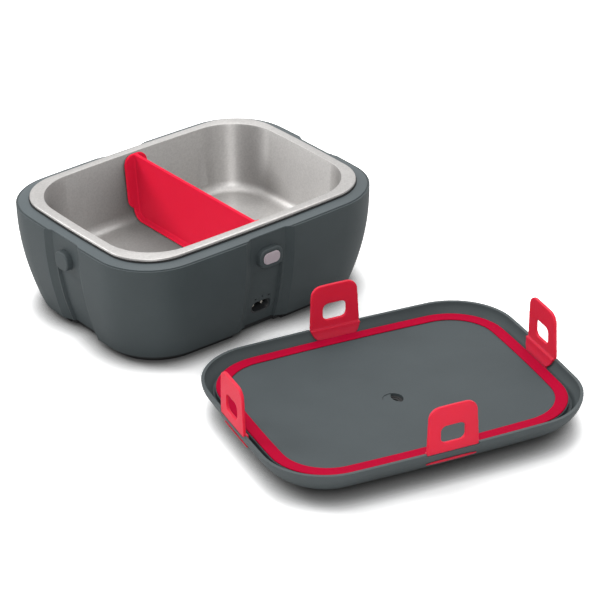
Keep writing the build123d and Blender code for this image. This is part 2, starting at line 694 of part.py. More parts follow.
def lid_body(inset, z_low):
    """Solid of the lid outline between a height and the rim plane, inset by one wall."""
    levels = [z_low + (LID_H - z_low) * k / 5 for k in range(6)]
    return loft([lid_section(z, inset) for z in levels])


def strap_notches(side):
    """Clearances for one latch strap: shallow rim notch and the slot of the retaining bar."""
    half = LID_HALF[side]
    rim = Pos(0, -half, LID_H) * Box(LATCH_WIDTH + 0.6, 2 * (LID_WALL + TONGUE_T + 1), 2 * NECK_H)
    bar_z = LID_H - BAR_DROP
    depth = lid_run(bar_z - BRIDGE_H) + LID_WALL + 2
    slot = Pos(0, -half, bar_z) * Box(BRIDGE_WIDTH + 0.4, 2 * depth, BRIDGE_H + 0.2)
    return on_side(side, rim + slot)


def lid_cover():
    """Domed outer lid moulding, lying on its crown."""
    outer = loft([lid_section(LID_H * t, 0) for t in LID_STEPS])
    sections = [lid_section(LID_WALL, LID_WALL + LID_CROWN_INSET)]
    sections += [lid_section(LID_H * t, LID_WALL) for t in LID_STEPS[2:-1]]
    sections.append(lid_section(LID_H + 0.01, LID_WALL))
    cover = outer - loft(sections)
    for side in SIDES:
        cover -= strap_notches(side)
    return cover - vent_bore(LID_WALL)


def vent_bore(top):
    """Hole for the vent tube, from the lid's outer face past one height."""
    radius = VENT_BORE_D / 2 + VENT_TUBE_WALL + VENT_CLEAR
    return Pos(VENT_AT[0], VENT_AT[1], -1) * Cylinder(radius, top + 2, align=LOW)


def panel_size(inset=0.0):
    """Half sizes and corner radius of the raised inner panel."""
    run = PANEL_INSET + inset
    return LID_X - run, LID_Y - run, LID_R + PANEL_CORNER_GAIN - run


def lid_panel():
    """Inner lid panel: raised tray with a glue ledge, a groove for the seal and the vent well."""
    block = slab(*panel_size(), PANEL_LEDGE_Z, PANEL_FACE_Z)
    hollow = slab(*panel_size(PANEL_T), PANEL_LEDGE_Z - 1, PANEL_FACE_Z - PANEL_T)
    ledge_run = lid_run(PANEL_LEDGE_Z) + LID_WALL + 0.1
    ledge = extrude(lid_outline(ledge_run, PANEL_LEDGE_Z), PANEL_LEDGE_T, dir=(0, 0, 1))
    panel = block + ledge - hollow
    rib_in = SEAL_EDGE + (SEAL_WIDTH - SEAL_RIB) / 2 - SEAL_RIB_CLEAR
    groove_z = PANEL_FACE_Z - SEAL_RIB_DEPTH
    panel -= ring(*panel_size(rib_in), SEAL_RIB + 2 * SEAL_RIB_CLEAR, groove_z, PANEL_FACE_Z + 1)
    well_z = PANEL_FACE_Z - VENT_WELL_DEPTH
    place = Pos(VENT_AT[0], VENT_AT[1], well_z)
    panel += place * Pos(0, 0, -2) * Cylinder(VENT_WELL_D / 2 + 2, VENT_WELL_DEPTH + 1, align=LOW)
    panel -= place * Cylinder(VENT_WELL_D / 2, 2 * VENT_WELL_DEPTH, align=LOW)
    return panel - vent_bore(PANEL_FACE_Z)


def lid_seal():
    """Silicone ring that presses on the dish flange."""
    band = ring(*panel_size(SEAL_EDGE), SEAL_WIDTH, PANEL_FACE_Z, PANEL_FACE_Z + SEAL_PROUD)
    crown = band.faces().filter_by(Plane.XY).sort_by(Axis.Z)[-1].edges()
    band = fillet(crown, 0.6)
    rib_in = SEAL_EDGE + (SEAL_WIDTH - SEAL_RIB) / 2
    return band + ring(*panel_size(rib_in), SEAL_RIB, PANEL_FACE_Z - SEAL_RIB_DEPTH, PANEL_FACE_Z)


def lid_insulation():
    """Foam slab in the closed space between cover and panel."""
    inset = lid_run(LID_WALL) + LID_WALL + FOAM_GAP
    height = PANEL_FACE_Z - VENT_WELL_DEPTH - 2 - LID_WALL
    pad = extrude(lid_outline(inset, LID_WALL), height, dir=(0, 0, 1))
    return pad - Pos(VENT_AT[0], VENT_AT[1], 0) * Cylinder(VENT_WELL_D / 2 + 1, 2 * LID_H)


def vent_tube():
    """Steam passage between the two lid skins."""
    top = PANEL_FACE_Z - VENT_WELL_DEPTH
    body = Cylinder(VENT_BORE_D / 2 + VENT_TUBE_WALL, top, align=LOW)
    body -= Cylinder(VENT_BORE_D / 2, 2 * top + 2)
    return Pos(VENT_AT[0], VENT_AT[1], 0) * body


def vent_tab():
    """Pale rounded tab that shades one side of the vent well."""
    disc = Cylinder(VENT_WELL_D / 2 - 0.2, 1.0, align=LOW)
    leaf = disc - Pos(8.2, 1.5, 0) * Cylinder(8.6, 6)
    stem = Cylinder(1.5, VENT_WELL_DEPTH - 1.4, align=LOW)
    base = Pos(VENT_AT[0], VENT_AT[1], PANEL_FACE_Z - 1.4)
    foot = Pos(VENT_AT[0] - 6.0, VENT_AT[1], PANEL_FACE_Z - VENT_WELL_DEPTH)
    return base * leaf + foot * stem


def lens(half):
    """Upright lens-shaped window for the retaining bar, front side."""
    top = (BAR_WIDTH / 2, BAR_END_H / 2)
    curve = Curve() + [
        ThreePointArc((-top[0], top[1]), (0, BAR_HEIGHT / 2), top),
        Line(top, (top[0], -top[1])),
        ThreePointArc((top[0], -top[1]), (0, -BAR_HEIGHT / 2), (-top[0], -top[1])),
        Line((-top[0], -top[1]), (-top[0], top[1])),
    ]
    flat = Plane.XZ * make_face(curve)
    return Pos(0, -half - 2, LID_H - BAR_DROP) * extrude(flat, 14, dir=(0, 1, 0))


def latch_root(side):
    """Fixed part of a latch strap: neck on the rim, tongue inside, retaining bar outside."""
    half = LID_HALF[side]
    neck = Pos(0, -half + LATCH_INSET, LID_H - NECK_H)
    neck_t = LID_WALL + TONGUE_T - LATCH_INSET
    neck *= Box(LATCH_WIDTH, neck_t, NECK_H, align=(Align.CENTER, Align.MIN, Align.MIN))
    rise = TONGUE_DROP + 9.0
    window = upright(LATCH_WIDTH, 2 * rise, TONGUE_R, -half, -half + 16, LID_H + rise - TONGUE_DROP)
    low = LID_H - TONGUE_DROP - 2
    tongue = lid_body(LID_WALL + TONGUE_CLEAR, low) - lid_body(LID_WALL + TONGUE_T, low)
    tongue &= on_side(side, window)
    bar_z = LID_H - BAR_DROP
    bridge = Pos(0, -half + lid_run(bar_z) - 0.6, bar_z)
    bridge *= Box(BRIDGE_WIDTH, LID_WALL + 1.4, BRIDGE_H, align=(Align.CENTER, Align.MIN, Align.CENTER))
    bar = lid_body(-BAR_PROUD, bar_z - 4) - lid_body(-TONGUE_CLEAR, bar_z - 4)
    bar &= on_side(side, lens(half))
    return tongue + bar + on_side(side, neck + bridge)


def latch(side):
    """Hinged flap of a latch strap: rounded lower edge on the hinge axis and a slot for the stud."""
    y0 = -LID_HALF[side] + LATCH_INSET
    low_z = LID_H + LATCH_GAP + LATCH_T / 2
    top_z = LID_H + LATCH_HEIGHT
    corner_z = top_z - LATCH_ARCH
    half_low = LATCH_WIDTH / 2
    half_top = LATCH_TOP_WIDTH / 2
    edge = Curve() + [
        Line((-half_low, low_z), (half_low, low_z)),
        Line((half_low, low_z), (half_top, corner_z)),
        ThreePointArc((half_top, corner_z), (0, top_z), (-half_top, corner_z)),
        Line((-half_top, corner_z), (-half_low, low_z)),
    ]
    flat = Plane.XZ * make_face(edge)
    tops = flat.vertices().sort_by(Axis.Z)[2:]
    flat = fillet(tops, LATCH_R)
    flap = Pos(0, y0, 0) * extrude(flat, LATCH_T, dir=(0, 1, 0))
    flap += Pos(0, y0 + LATCH_T / 2, low_z) * Rot(0, 90, 0) * Cylinder(LATCH_T / 2, LATCH_WIDTH)
    flap -= upright(SLOT_WIDTH, SLOT_HEIGHT, SLOT_R, y0 - 1, y0 + LATCH_T + 1, LID_H + SLOT_RISE)
    return on_side(side, flap)


# ---------------------------------------------------------------- write one STEP per sub-part
def main():
    """Build every sub-part and write it out."""
    os.makedirs("parts", exist_ok=True)
    parts = {
        "lower_shell": lower_shell(),
        "rim_frame": rim_frame(),
        "flange_gasket": flange_gasket(),
        "bottom_plate": bottom_plate(),
        "rubber_feet": rubber_feet(),
        "bottom_screws": bottom_screws(),
        "inner_tub": inner_tub(),
        "heating_plate": heating_plate(),
        "plate_posts": plate_posts(),
        "heat_shield": heat_shield(),
        "heater_element": heater_element(),
        "thermostat": thermostat(),
        "thermal_fuse": thermal_fuse(),
        "temperature_sensor": temperature_sensor(),
        "control_board": control_board(),
        "board_parts": board_parts(),
        "power_socket": power_socket(),
        "socket_pins": socket_pins(),
        "button_housing": stud("front", hollow=True),
        "stud_left": stud("left"),
        "stud_right": stud("right"),
        "stud_rear": stud("rear"),
        "power_button": power_button(),
        "button_switch": button_switch(),
        "indicator_led": indicator_led(),
        "dish": dish(),
        "divider": divider(),
        "lid_cover": in_place(lid_cover()),
        "lid_panel": in_place(lid_panel()),
        "lid_seal": in_place(lid_seal()),
        "lid_insulation": in_place(lid_insulation()),
        "vent_tube": in_place(vent_tube()),
        "vent_tab": in_place(vent_tab()),
    }
    for side in SIDES:
        parts["strap_" + side] = in_place(latch_root(side))
        parts["latch_" + side] = in_place(latch(side))
    for name, shape in parts.items():
        export_step(shape, "parts/" + name + ".step")


main()
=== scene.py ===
"""Dresses an electric lunch box: heated base, steel dish, partition and a lid with four strap latches."""

import json
import logging
import math
from abc import ABC, abstractmethod
from collections.abc import Callable
from dataclasses import dataclass, field
from enum import Enum

import bpy
from mathutils import Matrix, Vector

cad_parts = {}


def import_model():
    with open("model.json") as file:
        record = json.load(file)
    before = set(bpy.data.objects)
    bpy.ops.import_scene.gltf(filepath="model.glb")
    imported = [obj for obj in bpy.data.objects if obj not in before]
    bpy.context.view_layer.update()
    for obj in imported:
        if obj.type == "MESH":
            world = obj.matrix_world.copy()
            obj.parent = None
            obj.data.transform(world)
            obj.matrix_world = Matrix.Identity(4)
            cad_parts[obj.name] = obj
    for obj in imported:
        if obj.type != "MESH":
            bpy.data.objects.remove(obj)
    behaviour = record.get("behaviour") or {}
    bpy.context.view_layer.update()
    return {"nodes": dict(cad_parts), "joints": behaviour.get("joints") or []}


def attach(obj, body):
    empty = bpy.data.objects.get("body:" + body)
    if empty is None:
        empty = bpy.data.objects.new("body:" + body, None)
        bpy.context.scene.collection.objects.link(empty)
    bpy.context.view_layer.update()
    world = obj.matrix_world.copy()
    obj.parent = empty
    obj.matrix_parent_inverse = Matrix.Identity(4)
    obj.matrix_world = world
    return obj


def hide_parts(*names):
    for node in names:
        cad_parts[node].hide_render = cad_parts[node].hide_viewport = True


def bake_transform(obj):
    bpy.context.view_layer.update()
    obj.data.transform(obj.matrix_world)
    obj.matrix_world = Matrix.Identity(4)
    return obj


LOG = logging.getLogger("lunch_box")

Colour = tuple[float, float, float]

# ---------------------------------------------------------------- sockets of a Mix node, by place
MIX_FACTOR = 0
MIX_NUMBER_A, MIX_NUMBER_B, MIX_NUMBER_RESULT = 2, 3, 0
MIX_COLOUR_A, MIX_COLOUR_B, MIX_COLOUR_RESULT = 6, 7, 2

# ---------------------------------------------------------------- limits of the making steps
MERGE_DISTANCE = 0.000005             # metres
FLAT_ANGLE = math.radians(0.5)        # faces this flat are joined before their edges are rounded
SHARP_ANGLE = math.radians(50)        # edges sharper than this are rounded
PRESSED_SMOOTH = math.radians(35)     # shading angle of moulded and pressed pieces
RUBBER_SMOOTH = math.radians(40)      # shading angle of small rubber pieces
ROUND_STEPS = 3
SMOOTH_FACTOR = 0.5
UPWARD = 0.9                          # a face's normal points up from here
UPRIGHT = 0.3                         # a face is a wall while its normal rises less than this


# ---------------------------------------------------------------- node helpers
class NodeTree:
    """Short-hand for building one material's node tree."""

    LOW, HIGH = 0.3, 0.7              # span of a noise that is used
    RAMP_LOW, RAMP_HIGH = 0.32, 0.68

    def __init__(self, name: str) -> None:
        """Start an empty tree with a Principled shader on its output.

        Args:
            name: name of the material.
        """
        self.material = bpy.data.materials.new(name)
        self.material.use_nodes = True
        self.nodes = self.material.node_tree.nodes
        self.links = self.material.node_tree.links
        self.shader = self.nodes["Principled BSDF"]

    def add(self, kind: str, **values: object) -> bpy.types.Node:
        """Add one node and set its properties or input sockets.

        Args:
            kind: Blender's node type name.
            **values: property names, or input names with spaces as underscores.

        Returns:
            The new node.
        """
        node = self.nodes.new(kind)
        for key, value in values.items():
            if hasattr(node, key):
                setattr(node, key, value)
            else:
                node.inputs[key.replace("_", " ")].default_value = value
        return node

    def link(self, source: bpy.types.NodeSocket, target: bpy.types.NodeSocket) -> None:
        """Join an output to an input."""
        self.links.new(source, target)

    def set(self, **values: object) -> None:
        """Set constants on the shader, input names with spaces as underscores."""
        for key, value in values.items():
            self.shader.inputs[key.replace("_", " ")].default_value = value

    def place(self, scale: tuple[float, float, float]) -> bpy.types.NodeSocket:
        """Object coordinates stretched by a scale.

        Args:
            scale: repeats per metre along X, Y and Z.

        Returns:
            The vector output.
        """
        coords = self.add("ShaderNodeTexCoord")
        mapping = self.add("ShaderNodeMapping", Scale=scale)
        self.link(coords.outputs["Object"], mapping.inputs["Vector"])
        return mapping.outputs["Vector"]

    def noise(self, vector: bpy.types.NodeSocket, detail: float = 3.0) -> bpy.types.NodeSocket:
        """Noise of unit scale on a stretched vector.

        Args:
            vector: coordinates to read.
            detail: number of octaves.

        Returns:
            The factor output.
        """
        node = self.add("ShaderNodeTexNoise", Scale=1.0, Detail=detail)
        self.link(vector, node.inputs["Vector"])
        return node.outputs["Fac"]

    def spread(self, factor: bpy.types.NodeSocket, low: float, high: float) -> bpy.types.NodeSocket:
        """Map the used span of a noise onto a range.

        Args:
            factor: value to map.
            low: result at the low end of the span.
            high: result at the high end.

        Returns:
            The mapped output.
        """
        node = self.add("ShaderNodeMapRange", From_Min=self.LOW, From_Max=self.HIGH, To_Min=low, To_Max=high)
        self.link(factor, node.inputs["Value"])
        return node.outputs["Result"]

    def tint(self, factor: bpy.types.NodeSocket, colour: Colour, swing: float) -> None:
        """Vary the base colour a little around a colour.

        Args:
            factor: noise that drives the variation.
            colour: middle colour, linear.
            swing: share by which it gets darker and lighter.
        """
        ramp = self.add("ShaderNodeValToRGB")
        dark, light = ramp.color_ramp.elements
        dark.position = self.RAMP_LOW
        light.position = self.RAMP_HIGH
        dark.color = (*[c * (1 - swing) for c in colour], 1)
        light.color = (*[min(1.0, c * (1 + swing)) for c in colour], 1)
        self.link(factor, ramp.inputs["Fac"])
        self.link(ramp.outputs["Color"], self.shader.inputs["Base Color"])

    def bump(self, height: bpy.types.NodeSocket, depth: float) -> None:
        """Drive the shader's normal from a height.

        Args:
            height: value to read as height.
            depth: height of a full step, metres.
        """
        node = self.add("ShaderNodeBump", Strength=1.0, Distance=depth)
        self.link(height, node.inputs["Height"])
        self.link(node.outputs["Normal"], self.shader.inputs["Normal"])


# ---------------------------------------------------------------- finishes
@dataclass(frozen=True)
class Finish:
    """A surface finish with fine grain."""

    name: str
    colour: Colour
    roughness: float = 0.5
    metallic: float = 0.0
    grain: float = 2200.0             # repeats per metre
    depth: float = 0.00002            # of the grain, metres
    swing: float = 0.05               # of the colour
    specular: float = 0.5
    patch: float = 25.0               # repeats per metre of the colour's variation
    rough_swing: float = 0.05
    patch_detail: float = 4.0
    grain_detail: float = 2.0

    def material(self) -> bpy.types.Material:
        """Build the finish once and hand it out afterwards."""
        known = bpy.data.materials.get(self.name)
        return known if known else self.build()

    def build(self) -> bpy.types.Material:
        """Make the node tree.

        Returns:
            The material.
        """
        tree = NodeTree(self.name)
        tree.set(Metallic=self.metallic, Specular_IOR_Level=self.specular)
        tree.tint(tree.noise(tree.place((self.patch,) * 3), self.patch_detail), self.colour, self.swing)
        fine = tree.noise(tree.place((self.grain,) * 3), self.grain_detail)
        rough = tree.spread(fine, self.roughness - self.rough_swing, self.roughness + self.rough_swing)
        tree.link(rough, tree.shader.inputs["Roughness"])
        tree.bump(fine, self.depth)
        self.finish_shader(tree)
        return tree.material

    def finish_shader(self, tree: NodeTree) -> None:
        """Leave room for the special traits of other finishes."""


@dataclass(frozen=True)
class Silicone(Finish):
    """Soft silicone that lets a little light in, and whose echo in the steel is nearly neutral."""

    glow: float = 0.2
    reach: float = 0.0025             # of the light under the surface, metres
    radius: Colour = (1.0, 0.25, 0.2)
    echo: Colour = (0.24, 0.21, 0.21)

    def finish_shader(self, tree: NodeTree) -> None:
        """Add the light under the surface, and show the full red to the camera alone.

        Args:
            tree: node tree of the finish.
        """
        base = tree.shader.inputs["Base Color"]
        full_red = base.links[0].from_socket
        path = tree.add("ShaderNodeLightPath")
        mix = tree.add("ShaderNodeMix", data_type="RGBA")
        mix.inputs[MIX_COLOUR_A].default_value = (*self.echo, 1)
        tree.link(path.outputs["Is Camera Ray"], mix.inputs[MIX_FACTOR])
        tree.link(full_red, mix.inputs[MIX_COLOUR_B])
        tree.link(mix.outputs[MIX_COLOUR_RESULT], base)
        tree.set(Subsurface_Weight=self.glow, Subsurface_Radius=self.radius, Subsurface_Scale=self.reach)


@dataclass(frozen=True)
class SatinSteel(Finish):
    """Stainless steel brushed around the walls and along the floor and flange."""

    rough_swing: float = 0.06
    patch_detail: float = 3.0
    along: float = 60.0               # repeats per metre along the brush lines
    across: float = 5200.0            # and across them
    stretch: float = 0.95             # of the highlights on the walls
    stretch_flat: float = 0.3         # and on floor and flange
    turn: float = 0.25                # brings the stretch upright, in full turns

    def brushed(self, tree: NodeTree, level: bpy.types.NodeSocket) -> bpy.types.NodeSocket:
        """Brush lines that run around the walls and along flat parts.

        Args:
            tree: node tree of the finish.
            level: 1 on flat parts, 0 on walls.

        Returns:
            The height of the brush lines.
        """
        wall = tree.noise(tree.place((self.along, self.along, self.across)), self.grain_detail)
        flat = tree.noise(tree.place((self.along, self.across, self.along)), self.grain_detail)
        mix = tree.add("ShaderNodeMix", data_type="FLOAT")
        tree.link(level, mix.inputs[MIX_FACTOR])
        tree.link(wall, mix.inputs[MIX_NUMBER_A])
        tree.link(flat, mix.inputs[MIX_NUMBER_B])
        return mix.outputs[MIX_NUMBER_RESULT]

    def build(self) -> bpy.types.Material:
        """Make the node tree.

        Returns:
            The material.
        """
        tree = NodeTree(self.name)
        tree.set(Metallic=self.metallic, Anisotropic_Rotation=self.turn)
        tree.tint(tree.noise(tree.place((self.patch,) * 3), self.patch_detail), self.colour, self.swing)
        normal = tree.add("ShaderNodeNewGeometry")
        split = tree.add("ShaderNodeSeparateXYZ")
        tree.link(normal.outputs["Normal"], split.inputs["Vector"])
        level = tree.add("ShaderNodeMath", operation="ABSOLUTE")
        tree.link(split.outputs["Z"], level.inputs[0])
        lines = self.brushed(tree, level.outputs[0])
        rough = tree.spread(lines, self.roughness - self.rough_swing, self.roughness + self.rough_swing)
        tree.link(rough, tree.shader.inputs["Roughness"])
        tree.bump(lines, self.depth)
        around = tree.add("ShaderNodeTangent", direction_type="RADIAL", axis="Z")
        tree.link(around.outputs["Tangent"], tree.shader.inputs["Tangent"])
        stretch = tree.add("ShaderNodeMapRange", To_Min=self.stretch, To_Max=self.stretch_flat)
        tree.link(level.outputs[0], stretch.inputs["Value"])
        tree.link(stretch.outputs["Result"], tree.shader.inputs["Anisotropic"])
        return tree.material


@dataclass(frozen=True)
class MilkyLens(Finish):
    """Translucent moulded insert."""

    cloud: float = 0.5
    reach: float = 0.003              # of the light in the insert, metres
    radius: Colour = (1.0, 0.9, 0.9)
    gloss: float = 0.4
    gloss_roughness: float = 0.2

    def finish_shader(self, tree: NodeTree) -> None:
        """Add the light in the insert and its glossy skin.

        Args:
            tree: node tree of the finish.
        """
        tree.set(Subsurface_Weight=self.cloud, Subsurface_Radius=self.radius, Subsurface_Scale=self.reach)
        tree.set(Coat_Weight=self.gloss, Coat_Roughness=self.gloss_roughness)


SHELL = Finish("slate_shell", (0.053, 0.066, 0.07), 0.55, grain=2600, depth=0.00003, specular=0.35)
RIM = Finish("slate_rim", (0.087, 0.107, 0.115), 0.48, grain=2600, depth=0.00002, specular=0.4)
LID = Finish("slate_lid", (0.072, 0.086, 0.09), 0.55, grain=2600, depth=0.00003, specular=0.35)
PANEL = Finish("slate_panel", (0.054, 0.067, 0.072), 0.6, grain=2600, depth=0.00003, specular=0.35)
PLINTH = Finish("dark_plinth", (0.018, 0.019, 0.02), 0.6)
RUBBER = Finish("black_rubber", (0.012, 0.012, 0.013), 0.75, grain=1500, depth=0.00005)
SOCKET = Finish("black_thermoset", (0.03, 0.033, 0.035), 0.45)
RED = Silicone("red_silicone", (1.0, 0.01, 0.052), 0.6, grain=900, depth=0.00002, swing=0.03, specular=0.15)
SEAL = Silicone("crimson_seal", (0.46, 0.0005, 0.03), 0.6, grain=900, depth=0.00002, swing=0.03,
                specular=0.05, glow=0.05)
STRAP = Silicone("red_strap", (0.76, 0.014, 0.052), 0.5, grain=900, depth=0.00003, swing=0.04,
                 specular=0.3, glow=0.6, reach=0.006)
STEEL = SatinSteel("satin_steel", (0.53, 0.517, 0.505), 0.47, 0.92, depth=0.0000035, swing=0.07, patch=650)
ALUMINIUM = Finish("drawn_aluminium", (0.6, 0.61, 0.62), 0.42, 1.0, grain=1800, depth=0.00001)
SHEET_METAL = Finish("tinned_sheet", (0.5, 0.5, 0.5), 0.35, 1.0, grain=900, depth=0.00001)
HEATER = Finish("heater_sheath", (0.2, 0.19, 0.18), 0.5, 1.0, grain=1200, depth=0.00002)
SCREW = Finish("zinc_screw", (0.55, 0.55, 0.53), 0.3, 1.0)
CERAMIC = Finish("ceramic_body", (0.68, 0.64, 0.56), 0.45)
BOARD = Finish("circuit_board", (0.02, 0.13, 0.05), 0.35, grain=900)
COMPONENT = Finish("component_body", (0.03, 0.03, 0.033), 0.5)
CONTACT = Finish("plated_contact", (0.7, 0.66, 0.58), 0.25, 1.0)
LENS = MilkyLens("milky_button", (0.5, 0.42, 0.46), 0.4, grain=900, depth=0.00001)
LAMP = MilkyLens("lamp_lens", (0.8, 0.8, 0.76), 0.2)
FOAM = Finish("lid_foam", (0.62, 0.62, 0.58), 0.9, grain=1200, depth=0.0001)


# ---------------------------------------------------------------- shared making steps
def select_only(*objs: bpy.types.Object) -> None:
    """Select these objects alone and make the first one active.

    Args:
        *objs: objects to select.
    """
    bpy.ops.object.select_all(action="DESELECT")
    for obj in objs:
        obj.hide_set(False)
        obj.select_set(True)
    bpy.context.view_layer.objects.active = objs[0]


def select_faces(obj: bpy.types.Object, chosen: Callable[[bpy.types.MeshPolygon], bool]) -> None:
    """Select the faces that pass a test, and leave the object in edit mode.

    Args:
        obj: mesh object, alone selected and in object mode.
        chosen: test of one face.
    """
    bpy.ops.object.mode_set(mode="EDIT")
    bpy.ops.mesh.select_mode(type="FACE")
    bpy.ops.mesh.select_all(action="DESELECT")
    bpy.ops.object.mode_set(mode="OBJECT")
    for face in obj.data.polygons:
        face.select = chosen(face)
    bpy.ops.object.mode_set(mode="EDIT")


def apply_modifier(obj: bpy.types.Object, kind: str, **settings: object) -> None:
    """Add a modifier, set it and apply it.

    Args:
        obj: mesh object to change.
        kind: Blender's modifier type.
        **settings: modifier properties.
    """
    select_only(obj)
    modifier = obj.modifiers.new(kind.lower(), kind)
    for key, value in settings.items():
        setattr(modifier, key, value)
    bpy.ops.object.modifier_apply(modifier=modifier.name)


def dress(node: bpy.types.Object, finish: Finish) -> None:
    """Give a piece its finish."""
    node.data.materials.clear()
    node.data.materials.append(finish.material())


def box_of(obj: bpy.types.Object) -> tuple[Vector, Vector]:
    """Bounding box of a piece.

    Args:
        obj: mesh object to measure.

    Returns:
        The low corner and the high corner.
    """
    corners = [obj.matrix_world @ Vector(c) for c in obj.bound_box]
    low = Vector([min(c[k] for c in corners) for k in range(3)])
    high = Vector([max(c[k] for c in corners) for k in range(3)])
    return low, high


def merged_copy(node: bpy.types.Object, name: str) -> bpy.types.Object:
    """Copy a carried-over part as a new, merged mesh.

    Args:
        node: part to copy.
        name: name of the new piece.

    Returns:
        The new object, at the origin.
    """
    piece = bpy.data.objects.new(name, node.data.copy())
    bpy.context.scene.collection.objects.link(piece)
    select_only(piece)
    bpy.ops.object.mode_set(mode="EDIT")
    bpy.ops.mesh.select_all(action="SELECT")
    bpy.ops.mesh.remove_doubles(threshold=MERGE_DISTANCE)
    bpy.ops.mesh.normals_make_consistent(inside=False)
    bpy.ops.object.mode_set(mode="OBJECT")
    return piece


def soften(piece: bpy.types.Object, voxel: float, rounds: int, finish: Finish) -> None:
    """Round every edge of a moulded rubber piece.

    Args:
        piece: mesh object to change.
        voxel: size of the remeshing grid, metres.
        rounds: smoothing passes.
        finish: finish of the piece.
    """
    apply_modifier(piece, "REMESH", mode="VOXEL", voxel_size=voxel)
    apply_modifier(piece, "SMOOTH", factor=SMOOTH_FACTOR, iterations=rounds)
    select_only(piece)
    bpy.ops.object.shade_smooth()
    dress(piece, finish)


def round_edges(piece: bpy.types.Object, width: float, finish: Finish) -> None:
    """Break the sharp edges of a moulded or pressed piece so that they catch light.

    Args:
        piece: merged mesh to change.
        width: width of the broken edge, metres.
        finish: finish of the piece.
    """
    select_only(piece)
    bpy.ops.object.mode_set(mode="EDIT")
    bpy.ops.mesh.select_all(action="SELECT")
    bpy.ops.mesh.dissolve_limited(angle_limit=FLAT_ANGLE)
    bpy.ops.object.mode_set(mode="OBJECT")
    apply_modifier(piece, "BEVEL", width=width, segments=ROUND_STEPS, limit_method="ANGLE",
                   angle_limit=SHARP_ANGLE)
    select_only(piece)
    bpy.ops.object.shade_smooth_by_angle(angle=PRESSED_SMOOTH)
    dress(piece, finish)


# ---------------------------------------------------------------- sub-assemblies
class SubAssembly(ABC):
    """A group of pieces that is built in one go."""

    @abstractmethod
    def build(self) -> list[bpy.types.Object]:
        """Make and dress the pieces, and hand them back."""


@dataclass
class HeatedBase(SubAssembly):
    """Heated base: shell, rim frame, plinth, electrics and button."""

    nodes: dict[str, bpy.types.Object]
    edge: float = 0.0003
    rounded: dict[str, str] = field(default_factory=lambda: {"rim_frame": "rim", "button_housing": "shell"})
    finishes: dict[str, Finish] = field(default_factory=lambda: {
        "lower_shell": SHELL, "rim_frame": RIM, "flange_gasket": RUBBER, "bottom_plate": PLINTH,
        "rubber_feet": RUBBER, "bottom_screws": SCREW, "inner_tub": ALUMINIUM, "heating_plate": ALUMINIUM,
        "plate_posts": CERAMIC, "heat_shield": SHEET_METAL, "heater_element": HEATER, "thermostat": CERAMIC,
        "thermal_fuse": SHEET_METAL, "temperature_sensor": SHEET_METAL, "control_board": BOARD,
        "board_parts": COMPONENT, "power_socket": SOCKET, "socket_pins": CONTACT, "button_housing": SHELL,
        "stud_left": SHELL, "stud_right": SHELL, "stud_rear": SHELL, "power_button": LENS,
        "button_switch": COMPONENT, "indicator_led": LAMP})

    def build(self) -> list[bpy.types.Object]:
        """Dress the carried-over parts, and round the edges of two of them.

        Returns:
            The parts and the rounded copies.
        """
        pieces = []
        for name, finish in self.finishes.items():
            dress(self.nodes[name], finish)
            pieces.append(self.nodes[name])
        for name, slot in self.rounded.items():
            piece = merged_copy(self.nodes[name], f"soft_{name}")
            round_edges(piece, self.edge, self.finishes[name])
            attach(piece, "base")
            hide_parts(name)
            pieces.append(piece)
        return pieces


@dataclass
class DarkFlangeBand(SubAssembly):
    """Black band spread outwards from the gasket and pressed flat, which thickens the dark line between the
    dish flange and the rim frame.
    """

    gasket: bpy.types.Object
    spread: float = 0.0027            # beyond the gasket, metres
    flatten: float = 0.4              # share of the gasket's height

    def build(self) -> list[bpy.types.Object]:
        """Widen a copy of the gasket outwards and press it flat.

        Returns:
            The band.
        """
        band = merged_copy(self.gasket, "dark_flange_band")
        low, high = box_of(band)
        middle = (low + high) / 2
        select_only(band)
        select_faces(band, lambda face: self.is_outer_wall(face, middle))
        bpy.ops.mesh.extrude_region_shrink_fatten(TRANSFORM_OT_shrink_fatten={"value": self.spread})
        bpy.ops.mesh.select_all(action="SELECT")
        bpy.ops.transform.resize(value=(1, 1, self.flatten), center_override=(middle.x, middle.y, low.z))
        bpy.ops.mesh.normals_make_consistent(inside=False)
        bpy.ops.object.mode_set(mode="OBJECT")
        bpy.ops.object.shade_smooth_by_angle(angle=RUBBER_SMOOTH)
        dress(band, RUBBER)
        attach(band, "base")
        return [band]

    @staticmethod
    def is_outer_wall(face: bpy.types.MeshPolygon, middle: Vector) -> bool:
        """Tell whether a face is upright and looks away from the middle.

        Args:
            face: face of the gasket.
            middle: middle of the gasket.

        Returns:
            True on the outer wall.
        """
        outward = face.center - middle
        outward.z = 0
        return abs(face.normal.z) < UPRIGHT and face.normal.dot(outward) > 0


@dataclass
class SteelDish(SubAssembly):
    """Stainless dish in the heating well."""

    nodes: dict[str, bpy.types.Object]
    edge: float = 0.00045

    def build(self) -> list[bpy.types.Object]:
        """Round the lip and the edge of the opening.

        Returns:
            The dish.
        """
        piece = merged_copy(self.nodes["dish"], "pressed_dish")
        round_edges(piece, self.edge, STEEL)
        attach(piece, "dish")
        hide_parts("dish")
        return [piece]


@dataclass
class Partition(SubAssembly):
    """Red partition across the dish."""

    nodes: dict[str, bpy.types.Object]
    voxel: float = 0.0006
    rounds: int = 3

    def build(self) -> list[bpy.types.Object]:
        """Mould the partition with soft edges.

        Returns:
            The partition.
        """
        piece = merged_copy(self.nodes["divider"], "partition")
        soften(piece, self.voxel, self.rounds, RED)
        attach(piece, "divider")
        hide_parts("divider")
        return [piece]


